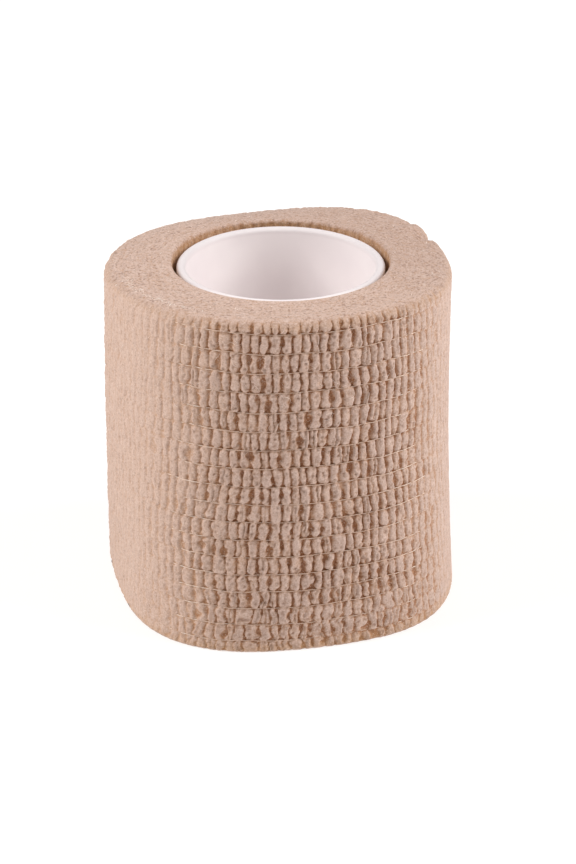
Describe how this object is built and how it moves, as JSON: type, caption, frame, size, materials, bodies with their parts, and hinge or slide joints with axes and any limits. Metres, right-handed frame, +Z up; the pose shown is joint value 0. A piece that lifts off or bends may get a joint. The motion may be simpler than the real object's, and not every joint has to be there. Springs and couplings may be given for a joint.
{
  "type": "cohesive bandage roll",
  "caption": "Crinkled skin-tone cohesive bandage wound on a white plastic core tube, standing on its flat wound edge, for first aid wrapping and support.",
  "frame": {"origin": "centre of the wound cloth's box, at the level of the surface it stands on", "axes": "+Z up along the core tube, -Y towards the side seen in front, +X to its right"},
  "size_m": [0.053, 0.0548, 0.0519],
  "materials": {
    "tan_nonwoven": "crinkled nonwoven with fine elastic threads, dull and slightly tacky",
    "white_plastic": "smooth satin white plastic"
  },
  "bodies": {
    "root": {"wound_cloth": "tan_nonwoven", "core_tube": "white_plastic"}
  },
  "joints": []
}
